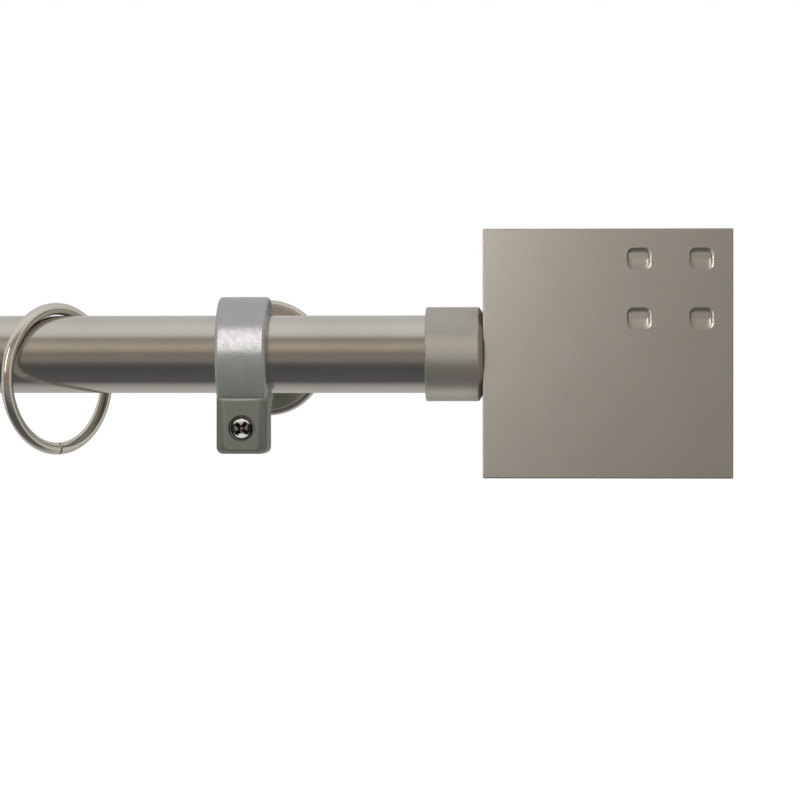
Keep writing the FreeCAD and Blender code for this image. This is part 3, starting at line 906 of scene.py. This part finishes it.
@dataclass
class WallBracket:
    """One clamp bracket: a hooked strap, a saddle with its arm, a wall plate and a screw."""

    band_radius: float = 18.8
    band_half: float = 8.2
    band_chamfer: float = 0.7
    band_rounding: float = 0.45
    bore_radius: float = 12.85
    lug_drop: float = 32.5
    lug_top: float = 13.95
    lug_face: float = 12.6
    lug_parting: float = 4.8
    lug_back: float = 4.0
    lug_corner: float = 2.2
    lug_corner_steps: int = 6
    lug_bevel_side: float = 2.6
    lug_bevel_depth: float = 0.9
    lug_bevel_bottom: float = 1.4
    lug_bevel_top: float = 1.3
    lug_rounding: float = 0.25
    closing_gap: float = 0.8
    lap_height: float = 15.7
    lap_length: float = 5.0
    lap_tooth: float = 1.6
    lap_tooth_depth: float = 1.4
    lap_gap: float = 0.2
    screw_drop: float = 24.2
    screw_radius: float = 2.0
    screw_head_radius: float = 3.5
    screw_head_height: float = 2.6
    screw_head_edge: float = 0.1
    screw_tip: float = 0.4
    screw_hole_gap: float = 0.25
    thread_gap: float = 0.05
    counterbore_radius: float = 4.15
    counterbore_depth: float = 1.6
    counterbore_floor: float = 0.15
    counterbore_chamfer: float = 0.3
    counterbore_chamfer_from: float = 0.2
    clear: float = 0.1
    cross_width: float = 1.5
    cross_span: float = 5.2
    cross_depth: float = 1.8
    cross_taper: tuple[float, float, float] = (0.6, 1.0, 0.7)
    cross_pocket: float = 1.2
    cross_pocket_taper: float = 0.4
    cross_turn: float = 40.0
    arm_radius: float = 6.0
    arm_flare_radius: float = 8.0
    arm_flare_length: float = 9.0
    arm_flare_rounding: float = 7.2
    plate_radius: float = 20.5
    plate_thickness: float = 5.0
    plate_edge: float = 2.3
    boss_height: float = 9.0
    boss_radius: float = 9.3
    boss_edge: float = 0.8
    socket_radius: float = 6.1
    socket_edge: float = 0.2
    set_screw_depth: float = 8.0
    set_screw_drop: float = 9.6
    wall_hole_radius: float = 2.25
    wall_hole_sink_radius: float = 3.9
    wall_hole_spacing: float = 28.4
    reach: float = 60.0
    centre: Vector = field(init=False)

    # The screw head's dome, from its rim to its middle: (depth below the top, share of the
    # head's radius, rounding).
    DOME = (
        (1.6, 1.0, 0.15),
        (1.12, 0.88, 0.12),
        (0.68, 0.70, 0.12),
        (0.32, 0.49, 0.12),
        (0.09, 0.27, 0.12),
        (0.0, 0.08, 0),
    )

    def __post_init__(self) -> None:
        """Find the point of the rod's axis that the right band goes round."""
        self.centre = Vector((middle("right_clamp_strap").x, middle("outer_tube").y, 0))

    def build(self, shop: Workshop) -> None:
        """Make the right bracket's pieces, copy them to the left, and fit them all."""
        pieces = {
            "clamp_strap": self._strap(),
            "saddle_arm": self._saddle_arm(),
            "wall_plate": self._wall_plate(),
            "clamp_screw": self._clamp_screw(),
        }
        for part, piece in pieces.items():
            smooth(piece)
            shift = middle(f"left_{part}").x - middle(f"right_{part}").x
            twin = copied(piece, piece.name.replace("right", "left"),
                          Matrix.Translation((shift, 0, 0)))
            shop.fit(piece, f"right_{part}")
            shop.fit(twin, f"left_{part}")

    def _band(self, name: str) -> Piece:
        """Make the whole clamp band with its lugs, before it is parted in two."""
        half = self.band_half
        low = self.band_radius - self.band_chamfer
        shoulder = half - self.band_chamfer
        rounding = self.band_rounding
        band = turned(name, [
            (-half, self.bore_radius, 0),
            (half, self.bore_radius, 0),
            (half, low, rounding),
            (shoulder, self.band_radius, rounding),
            (-shoulder, self.band_radius, rounding),
            (-half, low, rounding),
        ], Axis.ROD_RIGHT, self.centre)
        combine(band, self._lugs(), "UNION")
        drill(band, [(-half - PAST, self.bore_radius, 0), (half + PAST, self.bore_radius, 0)],
              Axis.ROD_RIGHT, self.centre, ROD_SIDES)
        return band

    def _lugs(self) -> Piece:
        """Make the block of both lugs, with its bottom corners and its raised front face."""
        half = self.band_half * MM
        shoulder = self.lug_face - self.lug_bevel_depth
        low = self.centre + Vector((-half, -shoulder * MM, -self.lug_drop * MM))
        high = self.centre + Vector((half, self.lug_back * MM, -self.lug_top * MM))
        lugs = block("lugs", low, high)
        face_centre = Vector((self.centre.x, low.y, (low.z + high.z) / 2))
        with editing(lugs, "EDGE"):
            pick(lugs, "edges", lambda edge: all(abs(v.co.z - low.z) < TOUCH for v in edge.verts)
                 and abs(edge.verts[0].co.y - edge.verts[1].co.y) > TOUCH)
            bevel(self.lug_corner * MM, self.lug_corner_steps)
            bpy.ops.mesh.select_mode(type="FACE")
            pick(lugs, "faces", lambda face: face.normal.y < -FACING)
            extrude(Vector((0, -self.lug_bevel_depth * MM, 0)))
            height = self.lug_drop - self.lug_top
            flat = height - self.lug_bevel_bottom - self.lug_bevel_top
            lift = (self.lug_bevel_bottom - self.lug_bevel_top) / 2
            bpy.ops.transform.resize(
                value=((self.band_half - self.lug_bevel_side) / self.band_half, 1.0,
                       flat / height), center_override=face_centre)
            bpy.ops.transform.translate(value=(0, 0, lift * MM))
            bpy.ops.mesh.select_mode(type="EDGE")
            pick(lugs, "edges", lambda edge: self._is_lug_rim(edge, low.y))
            bevel(self.lug_rounding * MM)
        return lugs

    @staticmethod
    def _is_lug_rim(edge: bmesh.types.BMEdge, shoulder: float) -> bool:
        """Say whether an edge runs round the raised face or round its foot."""
        forward = [vert.co.y for vert in edge.verts]
        return max(forward) < shoulder + TOUCH and abs(forward[0] - forward[1]) < TOUCH

    def _parting(self, grow: float) -> Piece:
        """Make the space that the front strap takes from the band, grown by a gap."""
        reach = self.reach
        lap = self.lap_height - grow
        return prism("parting", [
            (reach, -reach),
            (self.lug_parting - grow, -reach),
            (self.lug_parting - grow, 0),
            (-grow, 0),
            (-grow, lap),
            (self.lap_tooth - self.lap_length + grow, lap),
            (self.lap_tooth - self.lap_length + grow, lap - self.lap_tooth_depth),
            (-self.lap_length - grow, lap - self.lap_tooth_depth),
            (-self.lap_length - grow, reach),
            (reach, reach),
        ], self.centre, self.reach)

    def _screw_axis(self) -> Vector:
        """Give the point of the clamp screw's axis that is level with the rod's axis."""
        return self.centre - Vector((0, 0, self.screw_drop * MM))

    def _strap(self) -> Piece:
        """Make the front strap, hooked over the saddle at the top and screwed at the bottom."""
        strap = self._band("right_strap_casting")
        combine(strap, self._parting(0), "INTERSECT")
        seat = self.lug_face - self.counterbore_depth
        bore = self.counterbore_radius
        wide = bore + self.counterbore_chamfer
        hole = self.screw_radius + self.screw_hole_gap
        drill(strap, [
            (-self.reach, hole, 0),
            (seat, hole, 0),
            (seat, bore, self.counterbore_floor),
            (self.lug_face - self.counterbore_chamfer_from, bore, 0),
            (self.lug_face + self.clear, wide, 0),
            (self.reach, wide, 0),
        ], Axis.OUTWARD, self._screw_axis(), DRILL_SIDES)
        return strap

    def _saddle_arm(self) -> Piece:
        """Make the rear half of the bracket: the saddle, its lug and the arm to the wall."""
        saddle = self._band("right_saddle_casting")
        combine(saddle, self._parting(self.lap_gap), "DIFFERENCE")
        closing = prism("closing", [
            (self.lug_parting, -self.reach),
            (self.lug_parting - self.closing_gap, -self.reach),
            (self.lug_parting - self.closing_gap, 0),
            (self.lug_parting, 0),
        ], self.centre, self.reach)
        combine(saddle, closing, "DIFFERENCE")
        wall = Vector((self.centre.x, 0, 0))
        projection = -self.centre.y / MM
        root = projection - (self.band_radius + self.bore_radius) / 2
        back = projection - self.band_radius
        arm = turned("arm", [
            (self.plate_thickness, self.arm_radius, self.boss_edge),
            (back - self.arm_flare_length, self.arm_radius, self.arm_flare_rounding),
            (back, self.arm_flare_radius, 0),
            (root, self.arm_flare_radius, 0),
        ], Axis.OUTWARD, wall, closed=False, sides=HEAD_SIDES)
        combine(saddle, arm, "UNION")
        thread = self.screw_radius + self.thread_gap
        drill(saddle, [(-self.reach, thread, 0), (self.reach, thread, 0)], Axis.OUTWARD,
              self._screw_axis())
        return saddle

    def _wall_plate(self) -> Piece:
        """Turn the round wall plate with its boss, and countersink its two wall holes."""
        top = self.plate_thickness + self.boss_height
        plate = turned("right_plate_turned", [
            (0, self.plate_radius, 0),
            (self.plate_thickness, self.plate_radius, self.plate_edge),
            (self.plate_thickness, self.boss_radius, self.boss_edge),
            (top, self.boss_radius, self.boss_edge),
            (top, self.socket_radius, self.socket_edge),
            (self.plate_thickness, self.socket_radius, 0),
        ], Axis.OUTWARD, Vector((self.centre.x, 0, 0)), closed=False)
        sink = self.wall_hole_sink_radius - self.wall_hole_radius
        for side in (-1, 1):
            across = self.centre.x + side * self.wall_hole_spacing / 2 * MM
            drill(plate, [
                (-PAST, self.wall_hole_radius, 0),
                (self.plate_thickness - sink, self.wall_hole_radius, 0),
                (self.plate_thickness, self.wall_hole_sink_radius, 0),
                (self.plate_thickness + PAST, self.wall_hole_sink_radius, 0),
            ], Axis.OUTWARD, Vector((across, 0, 0)))
        low, high = span("right_set_screw")
        tapping = start(
            bpy.ops.mesh.primitive_cylinder_add, "tapping", vertices=HOLE_SIDES,
            radius=(high.x - low.x) / 2 + self.thread_gap * MM, depth=self.set_screw_depth * MM,
            location=((low.x + high.x) / 2, (low.y + high.y) / 2, -self.set_screw_drop * MM))
        combine(plate, tapping, "DIFFERENCE")
        return plate

    def _clamp_screw(self) -> Piece:
        """Turn the screw, with a domed head, and sink the cross recess in it."""
        seat = self.lug_face - self.counterbore_depth
        top = seat + self.screw_head_height
        radius = self.screw_head_radius
        screw = turned("right_screw_turned", [
            (-self.lug_back, self.screw_radius - self.screw_tip, 0),
            (-self.lug_back + self.screw_tip, self.screw_radius, 0),
            (seat, self.screw_radius, 0),
            (seat, radius, self.screw_head_edge),
            *((top - depth, radius * share, rounding) for depth, share, rounding in self.DOME),
        ], Axis.OUTWARD, self._screw_axis(), closed=False, sides=HEAD_SIDES)
        for quarter in (0.0, 90.0):
            combine(screw, self._recess_wing(top, self.cross_turn + quarter), "DIFFERENCE")
        drill(screw, [
            (top - self.cross_depth, self.cross_pocket * self.cross_pocket_taper, 0),
            (top + 2 * self.clear, self.cross_pocket, 0),
        ], Axis.OUTWARD, self._screw_axis())
        return screw

    def _recess_wing(self, top: float, turn: float) -> Piece:
        """Make one tapered blade of the cross recess, turned about the screw's axis."""
        centre = self._screw_axis() + Vector((0, -top * MM, 0))
        half = Vector((self.cross_span / 2, self.cross_depth, self.cross_width / 2)) * MM
        blade = block("blade", centre - half, centre + half)
        with editing(blade, "FACE"):
            pick(blade, "faces", lambda face: face.normal.y > FACING)
            bpy.ops.transform.resize(value=self.cross_taper, center_override=centre)
            bpy.ops.mesh.select_all(action="SELECT")
            bpy.ops.transform.rotate(value=math.radians(turn), orient_axis="Y",
                                     center_override=centre)
        return blade


@dataclass
class WireRings:
    """The rings of round wire, each bent to a circle with its ends butted at the bottom."""

    turns: tuple[float, ...] = (11.0, 38.0, -38.0, 38.0, -31.0, 34.0, -36.0)
    wire_radius: float = 2.0
    bend_radius: float = 23.0
    seam: float = 0.25
    end_rounding: float = 0.35
    bend_steps: int = 180
    wire_steps: int = 28

    def build(self, shop: Workshop) -> None:
        """Bend one ring, and hang a turned copy of it at each ring's place."""
        centre = Vector((0, middle("outer_tube").y, middle("ring_1").z))
        master = self._bend(centre)
        for index, turn in enumerate(self.turns, start=1):
            node = f"ring_{index}"
            spot = Vector((middle(node).x, centre.y, centre.z))
            move = (Matrix.Translation(spot) @ Matrix.Rotation(math.radians(turn), 4, "Z")
                    @ Matrix.Translation(-centre))
            shop.fit(copied(master, f"{node}_wire", move), node)
        bpy.data.objects.remove(master)

    def _bend(self, centre: Vector) -> Piece:
        """Make the ring across the rod at X = 0, open it at the bottom and round its ends."""
        ring = start(bpy.ops.mesh.primitive_torus_add, "ring_master",
                     major_segments=self.bend_steps, minor_segments=self.wire_steps,
                     major_radius=self.bend_radius * MM, minor_radius=self.wire_radius * MM,
                     location=centre, rotation=(0, math.pi / 2, 0))
        step = 2 * math.pi / self.bend_steps
        closing = step - self.seam / 2 / self.bend_radius

        def angle(co: Vector) -> float:
            return math.atan2(co.y - centre.y, centre.z - co.z)

        with editing(ring):
            pick(ring, "verts", lambda vert: abs(angle(vert.co)) < step / 2)
            bpy.ops.mesh.delete(type="VERT")
            for side in (-1, 1):
                pick(ring, "verts", lambda vert, end=side: vert.is_boundary
                     and angle(vert.co) * end > 0)
                bpy.ops.transform.rotate(value=side * closing, orient_axis="X",
                                         center_override=centre)
                bpy.ops.mesh.edge_face_add()
            bpy.ops.mesh.select_mode(type="EDGE")
            pick(ring, "edges", lambda edge: any(len(face.verts) > 4 for face in edge.link_faces))
            bevel(self.end_rounding * MM)
            face_outwards()
        smooth(ring)
        return ring


@dataclass(frozen=True)
class Panel:
    """A soft rectangular lamp.

    Attributes:
        name: The lamp's name.
        place: Where it hangs, in metres.
        size: Its width and height, in metres.
        watts: Its power.
        colour: Its colour.
        lights: The endings of the names of the only pieces that it lights, or none for all.
        mirrored: Whether shiny pieces show its reflection.
    """

    name: str
    place: tuple[float, float, float]
    size: tuple[float, float]
    watts: float
    colour: Colour
    lights: tuple[str, ...] = ()
    mirrored: bool = True


@dataclass
class Studio:
    """The floor, the soft lamps, the world and the camera, whose two places are in millimetres."""

    camera_place: tuple[float, float, float] = (98.0, -1085.0, -15.0)
    camera_target: tuple[float, float, float] = (50.9, -85.0, -15.0)
    focal_pixels: float = 3056.7
    image_pixels: float = 800.0
    sensor: float = 36.0
    floor_drop: float = 0.45
    floor_size: float = 40.0
    floor_colour: Colour = (0.80, 0.80, 0.80)
    floor_glow: float = 0.60
    plain_level: float = 0.75

    PANELS = (
        Panel("overhead_panel", (0.0, 0.35, 1.3), (1.8, 1.0), 5.0, (1.0, 1.0, 1.0),
              mirrored=False),
        Panel("key_panel", (-0.80, -1.45, 0.70), (0.36, 0.95), 4.0, (1.0, 0.985, 0.96)),
        Panel("bracket_panel", (-0.12, -1.05, 0.52), (0.30, 0.90), 4.6, (0.99, 0.96, 0.985),
              ("strap_casting", "saddle_casting")),
        Panel("collar_panel", (0.02, -1.00, 0.25), (0.30, 1.22), 1.15, (0.98, 0.985, 1.02),
              ("collar_turned",)),
        Panel("collar_low_panel", (0.05, 0.03, -0.42), (0.25, 0.25), 0.12, (1.0, 0.985, 0.985),
              ("collar_turned",)),
        Panel("screw_panel", (0.0, -0.24, -0.34), (0.55, 0.30), 0.36, (1.0, 0.985, 0.96),
              ("screw_turned",)),
        Panel("finial_panel", (-0.08, -0.50, 0.12), (0.12, 0.12), 1.14, (1.0, 0.99, 0.975),
              ("finial_casting",)),
        Panel("dimple_panel", (-0.75, -0.60, -0.30), (0.12, 0.12), 1.9, (1.0, 0.99, 0.975),
              ("right_finial_casting",)),
    )

    # The room's colour by the angle round the rod, from the back (-180) and below (-90)
    # through the front (0) to above (90).
    ROOM = (
        (-180, (0.16, 0.16, 0.15)),
        (-166, (0.58, 0.58, 0.57)),
        (-150, (0.64, 0.64, 0.63)),
        (-122, (0.66, 0.64, 0.64)),
        (-103, (0.46, 0.43, 0.43)),
        (-92, (0.16, 0.16, 0.17)),
        (-72, (0.14, 0.145, 0.15)),
        (-38, (0.12, 0.125, 0.13)),
        (-28, (0.19, 0.19, 0.185)),
        (-18, (0.33, 0.31, 0.29)),
        (-8, (0.36, 0.31, 0.28)),
        (2, (0.33, 0.28, 0.24)),
        (12, (0.55, 0.48, 0.41)),
        (24, (0.66, 0.59, 0.51)),
        (38, (0.44, 0.40, 0.36)),
        (46, (0.42, 0.39, 0.37)),
        (58, (0.88, 0.85, 0.83)),
        (72, (1.0, 0.98, 0.97)),
        (92, (1.0, 0.98, 0.97)),
        (115, (0.86, 0.85, 0.85)),
        (140, (0.78, 0.77, 0.78)),
        (164, (0.70, 0.70, 0.71)),
        (180, (0.16, 0.16, 0.15)),
    )

    # The colour of each end wall, on the way along X that it lies, and where it sets in.
    END_WALLS = (
        (-1.0, 0.75, (1.0, 0.99, 0.97)),
        (1.0, 0.7, (0.80, 0.79, 0.77)),
    )

    def build(self) -> None:
        """Set the view transform and build the studio."""
        bpy.context.scene.view_settings.view_transform = "Standard"
        self._camera()
        self._floor()
        self._world()
        for panel in self.PANELS:
            self._hang(panel)

    def link_lamps(self) -> None:
        """Tell each lamp that lights only some pieces which finished pieces they are."""
        for panel in self.PANELS:
            if not panel.lights:
                continue
            lit = bpy.data.collections.new(f"lit_by_{panel.name}")
            for piece in bpy.context.scene.objects:
                if piece.name.endswith(panel.lights):
                    lit.objects.link(piece)
            bpy.data.objects[panel.name].light_linking.receiver_collection = lit

    def _aim(self, item: Piece, place: Vector) -> None:
        """Put a lamp or the camera in its place and turn it to the middle of the view."""
        bpy.context.scene.collection.objects.link(item)
        item.location = place
        aim = Vector(self.camera_target) * MM - place
        item.rotation_euler = aim.to_track_quat("-Z", "Y").to_euler()

    def _camera(self) -> None:
        """Place the camera at the photograph's angle."""
        data = bpy.data.cameras.new("portrait_camera")
        data.sensor_width = self.sensor
        data.lens = self.focal_pixels / self.image_pixels * self.sensor
        camera = bpy.data.objects.new("portrait_camera", data)
        self._aim(camera, Vector(self.camera_place) * MM)
        bpy.context.scene.camera = camera

    def _hang(self, panel: Panel) -> None:
        """Hang a lamp, aimed at the middle of the camera's view."""
        data = bpy.data.lights.new(panel.name, "AREA")
        data.shape = "RECTANGLE"
        data.size, data.size_y = panel.size
        data.energy = panel.watts
        data.color = panel.colour
        lamp = bpy.data.objects.new(panel.name, data)
        lamp.visible_glossy = panel.mirrored
        self._aim(lamp, Vector(panel.place))

    def _floor(self) -> None:
        """Lay a pale floor that keeps the object's shadow."""
        floor = start(bpy.ops.mesh.primitive_plane_add, "studio_floor", size=self.floor_size,
                      location=(0, 0, -self.floor_drop))
        floor.visible_glossy = False
        material = bpy.data.materials.new("studio_floor_paint")
        material.use_nodes = True
        wiring = Wiring(material.node_tree)
        wiring.tree.nodes.clear()
        matt = wiring.add("BsdfDiffuse", {"Color": (*self.floor_colour, 1.0)}).outputs["BSDF"]
        dark, glow = (wiring.add("Emission", {"Strength": strength}).outputs["Emission"]
                      for strength in (0.0, self.floor_glow))
        choice = wiring.add("MixShader", {0: self._shown_ray(wiring), 1: dark, 2: glow})
        both = wiring.add("AddShader", {0: matt, 1: choice.outputs["Shader"]})
        wiring.add("OutputMaterial", {"Surface": both.outputs["Shader"]})
        floor.data.materials.append(material)

    def _shown_ray(self, wiring: Wiring) -> Socket:
        """Give 1 for a ray from the camera, or one that metal or glass passes on."""
        path = wiring.add("LightPath").outputs
        seen = wiring.work("MAXIMUM", path["Is Camera Ray"], path["Is Glossy Ray"])
        return wiring.work("MAXIMUM", seen, path["Is Transmission Ray"])

    def _world(self) -> None:
        """Make the world: a white backdrop, and the room that the metal reflects."""
        world = bpy.data.worlds.new("studio_world")
        bpy.context.scene.world = world
        world.use_nodes = True
        wiring = Wiring(world.node_tree)
        wiring.tree.nodes.clear()
        plain = wiring.add("Background", {"Strength": self.plain_level})
        direct = wiring.add("LightPath").outputs["Is Camera Ray"]
        white = wiring.blend(direct, self._room(wiring), (1.0, 1.0, 1.0))
        backdrop = wiring.add("Background", {"Color": white})
        choice = wiring.add("MixShader", {
            0: self._shown_ray(wiring), 1: plain.outputs["Background"],
            2: backdrop.outputs["Background"]})
        wiring.add("OutputWorld", {"Surface": choice.outputs["Shader"]})

    def _room(self, wiring: Wiring) -> Socket:
        """Colour the room by the angle round the rod, and its two end walls over that."""
        place = wiring.add("TexCoord").outputs["Generated"]
        parts = wiring.parts(place)
        front = wiring.work("MULTIPLY", parts["Y"], -1.0)
        angle = wiring.work("ARCTAN2", parts["Z"], front)
        colour = wiring.ramp(wiring.fade(angle, -math.pi, math.pi),
                             [((degrees + 180) / 360, shade) for degrees, shade in self.ROOM])
        for way, edge, shade in self.END_WALLS:
            along = wiring.work("MULTIPLY", parts["X"], way)
            share = wiring.add("MapRange", {"Value": along, "From Min": edge, "From Max": 1.0},
                               interpolation_type="SMOOTHSTEP").outputs["Result"]
            colour = wiring.blend(share, colour, shade)
        return colour


def main() -> None:
    """Build the studio, then every sub-assembly of the rod."""
    logging.basicConfig(level=logging.INFO, format="%(name)s: %(message)s")
    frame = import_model()
    studio = Studio()
    studio.build()
    shop = Workshop(frame)
    RodTubes().build(shop)
    for side, axis in (("right", Axis.ROD_RIGHT), ("left", Axis.ROD_LEFT)):
        Collar(side, axis).build(shop)
    Finial().build(shop)
    WallBracket().build(shop)
    WireRings().build(shop)
    for name, node in frame["nodes"].items():
        if not node.hide_render:
            shop.dress(name, node)
    studio.link_lamps()


if __name__ == "__main__":
    main()
